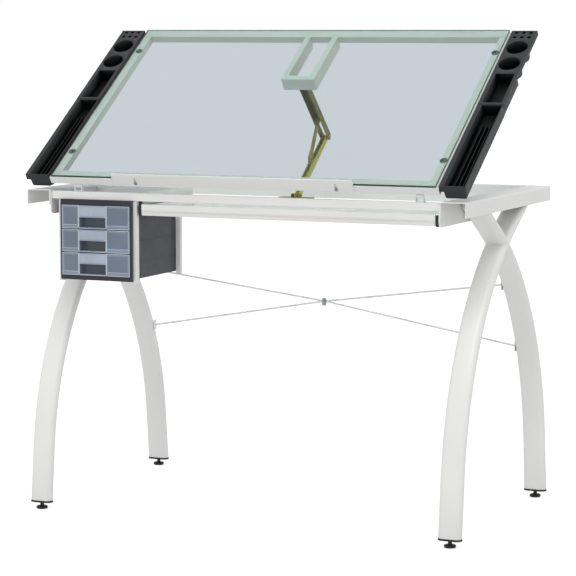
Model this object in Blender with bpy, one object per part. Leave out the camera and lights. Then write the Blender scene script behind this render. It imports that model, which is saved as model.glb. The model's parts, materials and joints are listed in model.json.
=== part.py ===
"""Drafting table with a tilting glass top, side trays, a drawer unit and arched legs.

The frame is +X to the user's right, +Y away from the user and +Z up, in metres. The origin is on the floor,
under the middle of the table's footprint. The top rests at its steepest tilt.
"""

import math

import bmesh
import bpy
from mathutils import Vector

# ---------------------------------------------------------------- driving dimensions
FOOTPRINT_DEPTH = 0.628
MIDDLE_Y = 0.31304

TILT = math.radians(34.2)
HINGE_Y, HINGE_Z = 0.014, 0.778

GLASS_WIDTH, GLASS_DEPTH, GLASS_THICK = 0.965, 0.606, 0.005
GLASS_TOP = 0.0285
BOARD_FRONT = 0.0025
BOARD_BACK = BOARD_FRONT + GLASS_DEPTH
BOARD_HALF = 0.4885
BOARD_TUBE, BOARD_TUBE_DEEP, TUBE_WALL = 0.025, 0.018, 0.0015
FRAME_TOP = 0.022
FRAME_LOW = FRAME_TOP - BOARD_TUBE_DEEP

BASE_TOP, SIDE_DEEP, SHEET = 0.768, 0.035, 0.002
SIDE_IN, SIDE_OUT = 0.490, 0.551
SIDE_FRONT, SIDE_BACK = 0.008, 0.617
RAIL_END = 0.4865
FRONT_RAIL_Y, FRONT_RAIL_DEEP, RAIL_TOP = (0.012, 0.037), 0.018, 0.765
BACK_RAIL_Y, BACK_RAIL_DEEP = (0.592, 0.617), 0.045
CENTRE_RAIL_Y, CENTRE_RAIL_Z = (0.300, 0.322), (0.722, 0.742)

LEG_X = (SIDE_IN + SIDE_OUT) / 2
LEG_WIDE, LEG_THICK = 0.055, 0.025
LEG_RADIUS, LEG_ARC_Z, LEG_FRONT_Y = 0.700, 0.080, 0.017
LEG_LOW_Z, LEG_STRAIGHT_Z, LEG_BEND_END_Z, LEG_TOP_Z = 0.0198, 0.150, 0.690, 0.7545

BRACKET_X = 0.005
LOWER_PIVOT = Vector((BRACKET_X, 0.337, 0.745))
ELBOW = Vector((BRACKET_X, 0.510, 0.881))
UPPER_PIVOT_S, UPPER_PIVOT_T = 0.4285, -0.0113
UPPER_HALF, LOWER_HALF = 0.0105, 0.0060
STRUT_PLACE = 0.67
PAWL = Vector((BRACKET_X, 0.413, 0.828))

UNIT_LEFT, UNIT_RIGHT, UNIT_TOP, UNIT_LOW = -0.457, -0.274, 0.7465, 0.558
POST, POST_FRONT, POST_BACK = 0.012, 0.014, 0.238

DRAWER_LEFT, DRAWER_RIGHT = -0.2486, 0.4776
DRAWER_TOP, DRAWER_LOW, DRAWER_BACK = 0.740, 0.714, 0.285

TRAY_WIDE, TRAY_INNER, TRAY_DEEP, TRAY_WALL = 0.063, 0.489, 0.033, 0.0025
TRAY_JOINT = 0.306

GAP = 0.0003
CUT = 0.01


# ---------------------------------------------------------------- finishes
def finish(name, colour, roughness, metallic=0.0, alpha=1.0):
    """A Principled material of one colour."""
    made = bpy.data.materials.new(name)
    made.use_nodes = True
    shader = made.node_tree.nodes["Principled BSDF"]
    shader.inputs["Base Color"].default_value = (*colour, 1.0)
    shader.inputs["Roughness"].default_value = roughness
    shader.inputs["Metallic"].default_value = metallic
    shader.inputs["Alpha"].default_value = alpha
    return made


for old in list(bpy.data.objects):
    bpy.data.objects.remove(old)

WHITE_POWDER = finish("white_powder_coat", (0.80, 0.81, 0.80), 0.40)
GLASS = finish("clear_glass", (0.72, 0.86, 0.82), 0.05, alpha=0.35)
TRAY_PLASTIC = finish("black_tray_plastic", (0.028, 0.029, 0.031), 0.50)
CASE_PLASTIC = finish("grey_case_plastic", (0.085, 0.087, 0.098), 0.45)
BIN_PLASTIC = finish("smoky_bin_plastic", (0.30, 0.37, 0.46), 0.25, alpha=0.7)
ZINC = finish("yellow_zinc", (0.55, 0.48, 0.22), 0.35, metallic=1.0)
BLACK_PLASTIC = finish("black_foot_plastic", (0.02, 0.02, 0.02), 0.55)
SLIDE_STEEL = finish("black_slide_steel", (0.03, 0.03, 0.03), 0.40, metallic=0.6)
BUMPER_GEL = finish("clear_bumper", (0.60, 0.72, 0.68), 0.20, alpha=0.5)
ROD_STEEL = finish("grey_rod", (0.62, 0.63, 0.62), 0.40)


# ---------------------------------------------------------------- modelling helpers
def solid(name, bm, look, parent=None, smooth=False):
    """Makes an object of a bmesh, with its faces turned outwards."""
    bmesh.ops.recalc_face_normals(bm, faces=bm.faces)
    mesh = bpy.data.meshes.new(name)
    bm.to_mesh(mesh)
    bm.free()
    mesh.materials.append(look)
    if smooth:
        mesh.shade_smooth()
        mesh.set_sharp_from_angle(angle=math.radians(35))
    made = bpy.data.objects.new(name, mesh)
    bpy.context.scene.collection.objects.link(made)
    made.parent = parent
    return made


def placed(point, axis, along):
    """A point of a 2-D outline in the plane across an axis, at a distance along that axis."""
    a, b = point
    return {"X": (along, a, b), "Y": (a, along, b), "Z": (a, b, along)}[axis]


def add_extrusion(bm, outline, axis, start, end):
    face = bm.faces.new([bm.verts.new(placed(point, axis, start)) for point in outline])
    raised = bmesh.ops.extrude_face_region(bm, geom=[face])["geom"]
    moved = [item for item in raised if isinstance(item, bmesh.types.BMVert)]
    shift = Vector(placed((0, 0), axis, end - start))
    bmesh.ops.translate(bm, verts=moved, vec=shift)


def extruded(name, outline, axis, start, end, look, parent=None, smooth=False):
    bm = bmesh.new()
    add_extrusion(bm, outline, axis, start, end)
    return solid(name, bm, look, parent, smooth)


def rectangle(a0, b0, a1, b1):
    return [(a0, b0), (a1, b0), (a1, b1), (a0, b1)]


def block(name, low, high, look, parent=None):
    outline = rectangle(low[0], low[1], high[0], high[1])
    return extruded(name, outline, "Z", low[2], high[2], look, parent)


def arc(centre, radius, start, end, steps):
    """Points on an arc, from one angle in degrees to another, both ends included."""
    points = []
    for step in range(steps + 1):
        turn = math.radians(start + (end - start) * step / steps)
        points.append((centre[0] + radius * math.cos(turn), centre[1] + radius * math.sin(turn)))
    return points


def obround(centre, half_long, radius, steps):
    """A slot outline with round ends, long along its first coordinate."""
    reach = half_long - radius
    right = arc((centre[0] + reach, centre[1]), radius, -90, 90, steps)
    return right + arc((centre[0] - reach, centre[1]), radius, 90, 270, steps)


def circle(centre, radius, sides=20):
    return arc(centre, radius, 0, 360 - 360 / sides, sides - 1)


def add_turned(bm, profile, axis, centre, sides):
    """Adds a turned shape: rings of (radius, height) along an axis, closed by flat ends."""
    rings = []
    for radius, height in profile:
        ring = circle((0, 0), radius, sides)
        rings.append([bm.verts.new(Vector(placed(point, axis, height)) + Vector(centre)) for point in ring])
    for lower, upper in zip(rings, rings[1:]):
        for i in range(sides):
            j = (i + 1) % sides
            bm.faces.new((lower[i], lower[j], upper[j], upper[i]))
    bm.faces.new(rings[0])
    bm.faces.new(rings[-1])


def turned(name, profile, axis, centre, look, parent=None, sides=20):
    bm = bmesh.new()
    add_turned(bm, profile, axis, centre, sides)
    return solid(name, bm, look, parent, smooth=True)


def tube(name, low, high, axis, wall, look, parent=None):
    """A rectangular tube from corner to corner, open at both ends of an axis."""
    along = "XYZ".index(axis)
    across = [i for i in range(3) if i != along]
    a0, b0 = (low[i] for i in across)
    a1, b1 = (high[i] for i in across)
    outer, inner = rectangle(a0, b0, a1, b1), rectangle(a0 + wall, b0 + wall, a1 - wall, b1 - wall)
    bm = bmesh.new()
    start, end = low[along], high[along]
    rings = []
    for place, outline in ((start, outer), (end, outer), (end, inner), (start, inner)):
        rings.append([bm.verts.new(placed(point, axis, place)) for point in outline])
    for ring, after in zip(rings, rings[1:] + rings[:1]):
        for i in range(4):
            j = (i + 1) % 4
            bm.faces.new((ring[i], ring[j], after[j], after[i]))
    return solid(name, bm, look, parent)


def combine(target, other, operation):
    """Joins a helper solid to an object, or cuts it away, and hides the helper."""
    other.hide_render = True
    other.display_type = "WIRE"
    modifier = target.modifiers.new(f"{operation.lower()}_{other.name}", "BOOLEAN")
    modifier.operation = operation
    modifier.object = other


def helper(name, shapes, parent=None):
    """One hidden solid of several shapes, each a function that adds itself to a bmesh."""
    bm = bmesh.new()
    for add, values in shapes:
        add(bm, *values)
    return solid(name, bm, WHITE_POWDER, parent)


def pivot(name, place, turn, parent=None):
    """An empty on a joint's axis, turned about X."""
    made = bpy.data.objects.new(name, None)
    made.location = place
    made.rotation_euler.x = turn
    made.parent = parent
    bpy.context.scene.collection.objects.link(made)
    return made


def for_both_sides():
    return (("left", -1), ("right", 1))


def ordered(side, near, far):
    """Two distances from the middle as a low and a high X on one side."""
    return tuple(sorted((side * near, side * far)))


# ---------------------------------------------------------------- base frame
def base_rails():
    centre_low, centre_top = CENTRE_RAIL_Z
    rails = (
        ("front_rail", RAIL_END, FRONT_RAIL_Y, RAIL_TOP - FRONT_RAIL_DEEP, RAIL_TOP),
        ("back_rail", SIDE_IN - GAP, BACK_RAIL_Y, BASE_TOP - BACK_RAIL_DEEP, BASE_TOP),
        ("centre_rail", RAIL_END - GAP, CENTRE_RAIL_Y, centre_low, centre_top),
    )
    for name, end, (y0, y1), low, top in rails:
        tube(name, (-end, y0, low), (end, y1, top), "X", TUBE_WALL, WHITE_POWDER)


def side_member(word, side):
    """An inverted channel, open below and in front and closed at the back, with rounded top edges."""
    x0, x1 = ordered(side, SIDE_IN, SIDE_OUT)
    low, high, radius = BASE_TOP - SIDE_DEEP, BASE_TOP, 0.005
    outline = [(x0, low), (x1, low)]
    outline += arc((x1 - radius, high - radius), radius, 0, 90, 3)
    outline += arc((x0 + radius, high - radius), radius, 90, 180, 3)
    member = extruded(f"side_member_{word}", outline, "Y", SIDE_FRONT, SIDE_BACK, WHITE_POWDER, smooth=True)
    inside = rectangle(x0 + SHEET, low - CUT, x1 - SHEET, high - SHEET)
    hollow = (add_extrusion, (inside, "Y", SIDE_FRONT - CUT, SIDE_BACK - SHEET))
    combine(member, helper(f"hollow_of_side_{word}", [hollow]), "DIFFERENCE")


def side_plates():
    """The upright plates inside the side members, and the one between the drawer unit and the wide drawer."""
    for word, side in for_both_sides():
        x0, x1 = ordered(side, RAIL_END + GAP, SIDE_IN - GAP)
        corner = 0.012
        outline = [(0.010, 0.764), (0.010, 0.711 + corner)]
        outline += arc((0.010 + corner, 0.711 + corner), corner, 180, 270, 3)
        outline += [(0.330, 0.711), (0.330, 0.764)]
        extruded(f"side_plate_{word}", outline, "X", x0, x1, WHITE_POWDER)
    outline = rectangle(FRONT_RAIL_Y[1] + GAP, 0.711, CENTRE_RAIL_Y[0] - GAP, RAIL_TOP)
    extruded("hanger_plate", outline, "X", -0.2600, -0.2575, WHITE_POWDER)


def leg_stations():
    """The front leg's centre line, as (y, z, lean from upright), from its foot up and back to its top."""
    def on_arc(z):
        lean = math.asin((z - LEG_ARC_Z) / LEG_RADIUS)
        return LEG_FRONT_Y + LEG_RADIUS * (1 - math.cos(lean)), lean

    y, lean = on_arc(LEG_STRAIGHT_Z)
    stations = [(y - (LEG_STRAIGHT_Z - LEG_LOW_Z) * math.tan(lean), LEG_LOW_Z, 0.0)]
    first, last, steps = lean, on_arc(LEG_BEND_END_Z)[1], 12
    for step in range(steps + 1):
        lean = first + (last - first) * step / steps
        z = LEG_ARC_Z + LEG_RADIUS * math.sin(lean)
        stations.append((on_arc(z)[0], z, lean))
    y, z, lean = stations[-1]
    stations.append((y + (LEG_TOP_Z - z) * math.tan(lean), LEG_TOP_Z, lean))
    return stations


def add_leg(bm, x, mirrored):
    """Sweeps the flat oval section along the leg's line, which bends in the YZ plane."""
    section = obround((0, 0), LEG_WIDE / 2, LEG_THICK / 2, 7)
    rings = []
    for y, z, lean in leg_stations():
        ring = []
        for across, thick in section:
            place_y = y + thick * math.cos(lean)
            if mirrored:
                place_y = FOOTPRINT_DEPTH - place_y
            ring.append(bm.verts.new((x + across, place_y, z - thick * math.sin(lean))))
        rings.append(ring)
    count = len(section)
    for lower, upper in zip(rings, rings[1:]):
        for i in range(count):
            j = (i + 1) % count
            bm.faces.new((lower[i], lower[j], upper[j], upper[i]))
    bm.faces.new(rings[0])
    bm.faces.new(rings[-1])


def legs_and_feet():
    foot_y = leg_stations()[0][0]
    for word, side in for_both_sides():
        bm = bmesh.new()
        add_leg(bm, side * LEG_X, mirrored=False)
        pair = solid(f"leg_pair_{word}", bm, WHITE_POWDER, smooth=True)
        rear = helper(f"rear_leg_of_{word}", [(add_leg, (side * LEG_X, True))])
        combine(pair, rear, "UNION")
        for end, y in (("front", foot_y), ("rear", FOOTPRINT_DEPTH - foot_y)):
            cap = obround((side * LEG_X, y), LEG_WIDE / 2 + 0.001, LEG_THICK / 2 + 0.001, 7)
            extruded(f"leg_cap_{end}_{word}", cap, "Z", 0.0160, LEG_LOW_Z - GAP, BLACK_PLASTIC, smooth=True)
            profile = [(0.0125, 0.0), (0.0135, 0.0015), (0.0135, 0.0055), (0.0110, 0.0070)]
            profile += [(0.0045, 0.0072), (0.0045, 0.0157)]
            turned(f"foot_{end}_{word}", profile, "Z", (side * LEG_X, y, 0), BLACK_PLASTIC)


def cross_brace():
    """Two thin rods between the rear legs, bent a little where a clamp holds their crossing."""
    end_x = LEG_X - LEG_WIDE / 2 - 0.0005
    low, crossing_x, crossing = (0.545, 0.383), 0.014, (0.4905, 0.4750)
    for number, side, high in ((1, -1, (0.433, 0.548)), (2, 1, (0.433, 0.543))):
        shift = 0.0026 * side
        curve = bpy.data.curves.new(f"brace_rod_{number}", "CURVE")
        curve.dimensions = "3D"
        curve.bevel_depth, curve.bevel_resolution, curve.use_fill_caps = 0.0022, 2, True
        line = curve.splines.new("POLY")
        line.points.add(2)
        route = ((side * end_x, *high), (crossing_x, *crossing), (-side * end_x, *low))
        for point, (x, y, z) in zip(line.points, route):
            point.co = (x, y + shift, z, 1)
        curve.materials.append(ROD_STEEL)
        rod = bpy.data.objects.new(f"brace_rod_{number}", curve)
        bpy.context.scene.collection.objects.link(rod)
    y, z = crossing
    place = (crossing_x, y - 0.0090, z)
    turned("brace_clamp", [(0.007, 0.0), (0.007, 0.003)], "Y", place, ROD_STEEL, sides=16)


# ---------------------------------------------------------------- drawer unit on the left
def unit_posts():
    """Four square posts under the base, with the bar that carries the rear two."""
    for word, x0 in (("left", UNIT_LEFT - POST), ("right", UNIT_RIGHT)):
        for end, y0 in (("front", POST_FRONT), ("rear", POST_BACK)):
            top = RAIL_TOP - FRONT_RAIL_DEEP - GAP
            block(f"unit_post_{end}_{word}", (x0, y0, 0.5555), (x0 + POST, y0 + POST, top), WHITE_POWDER)
    low, high = (-RAIL_END, 0.235, RAIL_TOP - FRONT_RAIL_DEEP), (-0.2603, 0.253, RAIL_TOP)
    tube("unit_rear_bar", low, high, "X", TUBE_WALL, WHITE_POWDER)


BAY_LOWS = (0.5690, 0.6240, 0.6790)
BAY_TOPS = (0.6225, 0.6775, 0.7345)


def unit_case():
    """An open-fronted case with a flange round its mouth and a shelf under each of the upper drawers."""
    wall = 0.0012
    left, right, back = UNIT_LEFT + GAP, UNIT_RIGHT - GAP, POST_BACK + POST - 0.002
    body = rectangle(left, UNIT_LOW + 0.004, right, UNIT_TOP)
    case = extruded("drawer_case", body, "Y", 0.009, back, CASE_PLASTIC)
    flange = rectangle(left - 0.0028, UNIT_LOW, right + 0.0038, UNIT_TOP + 0.0010)
    mouth = (add_extrusion, (flange, "Y", 0.005, FRONT_RAIL_Y[0] - GAP))
    combine(case, helper("case_flange", [mouth]), "UNION")
    bays = []
    for low, top in zip(BAY_LOWS, BAY_TOPS):
        bay = rectangle(left + wall, low - 0.0005, right - wall, top + 0.0005)
        bays.append((add_extrusion, (bay, "Y", -CUT, back - wall)))
    combine(case, helper("case_bays", bays), "DIFFERENCE")


def small_drawers():
    """Three open-topped bins, each with a finger recess under a lip in the middle of its front."""
    left, right, back, wall, front = UNIT_LEFT + 0.0020, UNIT_RIGHT - 0.0020, 0.228, 0.002, 0.004
    middle, half = -0.374, 0.035
    for word, low, top in zip(("bottom", "middle", "top"), BAY_LOWS, BAY_TOPS):
        drawer = block(f"small_drawer_{word}", (left, front, low), (right, back, top - 0.0005), BIN_PLASTIC)
        inside = rectangle(left + wall, front + 0.019, right - wall, back - wall)
        hollow = (add_extrusion, (inside, "Z", low + wall, top + CUT))
        pull = rectangle(middle - half, low + 0.003, middle + half, low + 0.0265)
        recess = (add_extrusion, (pull, "Y", -CUT, front + 0.016))
        combine(drawer, helper(f"inside_of_{word}_drawer", [hollow, recess]), "DIFFERENCE")


# ---------------------------------------------------------------- wide drawer under the top
def wide_drawer():
    wall = 0.0015
    low, high = (DRAWER_LEFT, 0.014, DRAWER_LOW + 0.003), (DRAWER_RIGHT, DRAWER_BACK, DRAWER_TOP - 0.003)
    pan = block("wide_drawer", low, high, WHITE_POWDER)
    face = [(0.0125, DRAWER_TOP), (0.0125, 0.7275), (0.0160, DRAWER_LOW), (0.0200, DRAWER_LOW)]
    face.append((0.0200, DRAWER_TOP))
    front = (add_extrusion, (face, "X", DRAWER_LEFT, DRAWER_RIGHT))
    combine(pan, helper("wide_drawer_front", [front]), "UNION")
    inside = rectangle(DRAWER_LEFT + wall, 0.0215, DRAWER_RIGHT - wall, DRAWER_BACK - wall)
    hollow = (add_extrusion, (inside, "Z", DRAWER_LOW + 0.003 + wall, DRAWER_TOP + CUT))
    combine(pan, helper("inside_of_wide_drawer", [hollow]), "DIFFERENCE")
    for word, x0, x1 in (("left", -0.2572, DRAWER_LEFT - 0.0006), ("right", DRAWER_RIGHT + 0.0006, RAIL_END)):
        block(f"drawer_slide_{word}", (x0, 0.016, 0.7125), (x1, 0.284, 0.7375), SLIDE_STEEL)


# ---------------------------------------------------------------- tilting board
def board_frame(board):
    inner = BOARD_HALF - BOARD_TUBE
    front_in, back_in = BOARD_FRONT + BOARD_TUBE, BOARD_BACK - BOARD_TUBE
    for word, s0, s1 in (("front", BOARD_FRONT, front_in), ("back", back_in, BOARD_BACK)):
        low, high = (-BOARD_HALF, s0, FRAME_LOW), (BOARD_HALF, s1, FRAME_TOP)
        tube(f"board_{word}_tube", low, high, "X", TUBE_WALL, WHITE_POWDER, board)
    for word, side in for_both_sides():
        x0, x1 = ordered(side, inner, BOARD_HALF)
        low, high = (x0, front_in + GAP, FRAME_LOW), (x1, back_in - GAP, FRAME_TOP)
        tube(f"board_side_tube_{word}", low, high, "Y", TUBE_WALL, WHITE_POWDER, board)
    left, right, bar = BRACKET_X - 0.043, BRACKET_X + 0.043, 0.0145
    front, front_bar, back = 0.4045, 0.4205, back_in - GAP
    outline = [(left, front), (right, front), (right, back), (right - bar, back)]
    outline += [(right - bar, front_bar), (left + bar, front_bar), (left + bar, back), (left, back)]
    extruded("support_bracket", outline, "Z", FRAME_TOP - 0.031, FRAME_TOP, WHITE_POWDER, board)


def glass_and_bumpers(board):
    half, corner = GLASS_WIDTH / 2, 0.006
    x, y0, y1 = half - corner, BOARD_FRONT + corner, BOARD_BACK - corner
    outline = arc((x, y0), corner, -90, 0, 3) + arc((x, y1), corner, 0, 90, 3)
    outline += arc((-x, y1), corner, 90, 180, 3) + arc((-x, y0), corner, 180, 270, 3)
    extruded("glass_top", outline, "Z", GLASS_TOP - GLASS_THICK, GLASS_TOP, GLASS, board)
    for word, side in for_both_sides():
        for end, s in (("front", 0.1010), ("rear", 0.5190)):
            profile = [(0.009, FRAME_TOP + GAP), (0.009, GLASS_TOP - GLASS_THICK - GAP)]
            turned(f"glass_bumper_{end}_{word}", profile, "Z", (side * 0.4705, s, 0), BUMPER_GEL, board)


def pencil_ledge(board):
    """A strip on the board's front face, with a slot for a screw at each end so that it slides up and down."""
    outer, inner = BOARD_FRONT - 0.0026, BOARD_FRONT - GAP
    low, high = GLASS_TOP - 0.022, GLASS_TOP + 0.0105
    corner = 0.004
    x0, x1 = -0.319, 0.288
    outline = arc((x0 + corner, high - corner), corner, 180, 90, 3)
    outline += arc((x1 - corner, high - corner), corner, 90, 0, 3)
    outline += [(x1, low), (x0, low)]
    ledge = extruded("pencil_ledge", outline, "Y", outer, inner, WHITE_POWDER, board)
    slots = []
    for x in (-0.260, 0.245):
        slot = [(x + b, a) for a, b in obround((GLASS_TOP - 0.0105, 0), 0.0095, 0.0026, 5)]
        slots.append((add_extrusion, (slot, "Y", outer - CUT, inner + CUT)))
    combine(ledge, helper("ledge_slots", slots, board), "DIFFERENCE")


def tray_outline(x0, hooked):
    """The cross-section of a lower tray: a box with a deep lip on its left and, if hooked, a hook below."""
    top, low = GLASS_TOP, GLASS_TOP - TRAY_DEEP
    right = x0 + TRAY_WIDE
    outline = [(x0, top), (right, top)]
    if hooked:
        hook = right + 0.006
        outline += [(right - 0.0021, top - 0.0253), (hook, top - 0.0253), (hook, top - 0.0280)]
    outline += [(right - 0.0025, top - 0.0310), (right - 0.0045, low), (x0 + 0.0130, low)]
    return outline + [(x0 + 0.0112, top - 0.0300), (x0 + 0.0100, top - 0.0155), (x0, top - 0.0150)]


def lower_tray(word, x0, hooked, board):
    """The long pencil trough, with three ridges over most of its length."""
    top, low = GLASS_TOP, GLASS_TOP - TRAY_DEEP
    start, end = BOARD_FRONT, BOARD_FRONT + TRAY_JOINT - 0.0008
    tray = extruded(f"lower_tray_{word}", tray_outline(x0, hooked), "Y", start, end, TRAY_PLASTIC, board)
    right = x0 + TRAY_WIDE
    inside = [(x0 + 0.0120, top + CUT), (x0 + 0.0120, top), (x0 + 0.0135, low + TRAY_WALL)]
    inside += [(right - 0.0052, low + TRAY_WALL), (right - 0.0025, top), (right - 0.0025, top + CUT)]
    trough = (add_extrusion, (inside, "Y", start + TRAY_WALL, end - TRAY_WALL))
    combine(tray, helper(f"trough_{word}", [trough], board), "DIFFERENCE")
    ridges = []
    for place in (0.0275, 0.0375, 0.0475):
        ridge = rectangle(x0 + place, low + 0.001, x0 + place + 0.0025, low + 0.020)
        ridges.append((add_extrusion, (ridge, "Y", start + 0.001, start + 0.247)))
    combine(tray, helper(f"ridges_{word}", ridges, board), "UNION")


CUP_PLACES = (0.4670, 0.5325)
CUP_RADIUS = 0.026


def upper_tray(word, x0, board):
    """A holder with six small holes, two round cups and a pocket, all let into a plate with a short skirt."""
    top, low, skirt = GLASS_TOP, GLASS_TOP - TRAY_DEEP, 0.012
    start, end = BOARD_FRONT + TRAY_JOINT, BOARD_FRONT + 0.602
    right, middle = x0 + TRAY_WIDE, x0 + TRAY_WIDE / 2
    tray = block(f"upper_tray_{word}", (x0, start, top - skirt), (right, end, top), TRAY_PLASTIC, board)
    under = rectangle(x0 + TRAY_WALL, start + TRAY_WALL, right - TRAY_WALL, end - TRAY_WALL)
    below = (add_extrusion, (under, "Z", low - CUT, top - TRAY_WALL))
    combine(tray, helper(f"under_{word}", [below], board), "DIFFERENCE")
    pocket = (x0 + 0.0100, BOARD_FRONT + 0.3135, right - 0.0070, BOARD_FRONT + 0.4270)
    wall = TRAY_WALL
    outer = rectangle(pocket[0] - wall, pocket[1] - wall, pocket[2] + wall, pocket[3] + wall)
    wells, hollows = [(add_extrusion, (outer, "Z", low, top - 0.001))], []
    hollows.append((add_extrusion, (rectangle(*pocket), "Z", low + wall, top + CUT)))
    for s in CUP_PLACES:
        centre = (middle, BOARD_FRONT + s, 0)
        well = [(CUP_RADIUS - 0.001, low), (CUP_RADIUS + wall, top - 0.001)]
        cup = [(CUP_RADIUS - 0.0035, low + wall), (CUP_RADIUS, top), (CUP_RADIUS, top + CUT)]
        wells.append((add_turned, (well, "Z", centre, 24)))
        hollows.append((add_turned, (cup, "Z", centre, 24)))
    for s in (0.5745, 0.5930):
        for across in (-0.0175, 0.0, 0.0175):
            centre = (middle + across, BOARD_FRONT + s, 0)
            socket = [(0.0058, top - 0.0118), (0.0060, top - 0.001)]
            wells.append((add_turned, (socket, "Z", centre, 10)))
            hollows.append((add_turned, ([(0.0045, top - 0.0103), (0.0045, top + CUT)], "Z", centre, 10)))
    combine(tray, helper(f"wells_{word}", wells, board), "UNION")
    combine(tray, helper(f"hollows_{word}", hollows, board), "DIFFERENCE")


def side_trays(board):
    for word, x0 in (("left", -TRAY_INNER - TRAY_WIDE), ("right", TRAY_INNER)):
        lower_tray(word, x0, word == "left", board)
        upper_tray(word, x0, board)


# ---------------------------------------------------------------- hinges
HINGE_CENTRES = (("left", -0.415), ("right", 0.441))
PIN_RADIUS, PIN_HOLE = 0.0020, 0.0023


def board_hinges(board):
    for word, x in HINGE_CENTRES:
        foot = rectangle(HINGE_Y - 0.001, RAIL_TOP + GAP, HINGE_Y + 0.014, RAIL_TOP + 0.0022)
        bracket = extruded(f"hinge_bracket_{word}", foot, "X", x - 0.010, x + 0.010, ZINC)
        ear = [(HINGE_Y - 0.002, RAIL_TOP + GAP), (HINGE_Y + 0.010, RAIL_TOP + GAP)]
        ear += arc((HINGE_Y, HINGE_Z), 0.0038, 0, 180, 6)
        ears = [(add_extrusion, (ear, "X", x + a, x + b)) for a, b in ((-0.010, -0.008), (0.008, 0.010))]
        combine(bracket, helper(f"ears_{word}", ears), "UNION")
        pin = (add_turned, ([(PIN_RADIUS, -0.0108), (PIN_RADIUS, 0.0108)], "X", (x, HINGE_Y, HINGE_Z), 14))
        combine(bracket, helper(f"pin_{word}", [pin]), "UNION")
        leaf = arc((0, 0), 0.0036, 120, 360, 9) + [(0.006, 0.0012), (0.018, 0.0012), (0.018, FRAME_LOW - GAP)]
        leaf += [(-0.0018, FRAME_LOW - GAP)]
        knuckle = extruded(f"hinge_leaf_{word}", leaf, "X", x - 0.0075, x + 0.0075, ZINC, board)
        bore = (add_turned, ([(PIN_HOLE, -0.020), (PIN_HOLE, 0.020)], "X", (x, 0, 0), 14))
        combine(knuckle, helper(f"leaf_hole_{word}", [bore], board), "DIFFERENCE")


# ---------------------------------------------------------------- ratchet stay under the board
def lean_of(start, end):
    return math.atan2(end.z - start.z, end.y - start.y)


def pair_of_ears(outline, near, far):
    """Two upright ears of one outline, either side of the stay's middle."""
    spans = ((BRACKET_X - far, BRACKET_X - near), (BRACKET_X + near, BRACKET_X + far))
    return [(add_extrusion, (outline, "X", x0, x1)) for x0, x1 in spans]


def crosswise_hole(radius, place):
    """A hole across a link, at a distance along it from its pivot."""
    return (add_turned, ([(radius, -0.03), (radius, 0.03)], "X", (0, place, 0), 14))


def stay_base():
    """The zinc plate on the centre rail, with two ears and a pin that hold the lower link."""
    top, y, z = CENTRE_RAIL_Z[1] + GAP, LOWER_PIVOT.y, LOWER_PIVOT.z
    middle, near = BRACKET_X + 0.007, LOWER_HALF + 0.0006
    low, high = (middle - 0.042, 0.298, top), (middle + 0.042, 0.3265, top + 0.0025)
    plate = block("stay_base_plate", low, high, ZINC)
    ear = [(0.3180, top), (0.3225, top)] + arc((y, z), 0.007, -75, 90, 6) + [(0.3180, z + 0.007)]
    combine(plate, helper("stay_base_ears", pair_of_ears(ear, near, near + 0.0022)), "UNION")
    pin = (add_turned, ([(0.0030, -near - 0.0029), (0.0030, near + 0.0029)], "X", LOWER_PIVOT, 14))
    combine(plate, helper("stay_base_pin", [pin]), "UNION")


def lower_link():
    """A channel with ratchet teeth standing up from its edges, turning on the base plate."""
    length = (ELBOW - LOWER_PIVOT).length
    holder = pivot("lower_link_pivot", LOWER_PIVOT, lean_of(LOWER_PIVOT, ELBOW))
    depth, tooth, pitch, half = 0.0070, 0.0055, 0.0085, LOWER_HALF
    outline = arc((0, 0), depth, 90, 270, 6) + arc((length, 0), depth, -90, 90, 6)
    for number in range(9):
        place = 0.1300 - number * pitch
        outline += [(place, depth), (place - 0.0030, depth + tooth), (place - 0.0055, depth + tooth - 0.001)]
        outline.append((place - 0.0060, depth))
    link = extruded("lower_link", outline, "X", -half, half, ZINC, holder)
    inside = rectangle(-0.02, -depth + 0.0015, length + 0.02, depth + CUT)
    hollow = (add_extrusion, (inside, "X", -half + 0.0015, half - 0.0015))
    holes = [crosswise_hole(0.0033, place) for place in (0, length)]
    combine(link, helper("inside_of_lower_link", [hollow], holder), "DIFFERENCE")
    combine(link, helper("holes_of_lower_link", holes, holder), "DIFFERENCE")
    reach = UPPER_HALF - 0.0015 - 0.0003
    turned("elbow_pin", [(0.0030, -reach), (0.0030, reach)], "X", (0, length, 0), ZINC, holder, sides=14)


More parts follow.
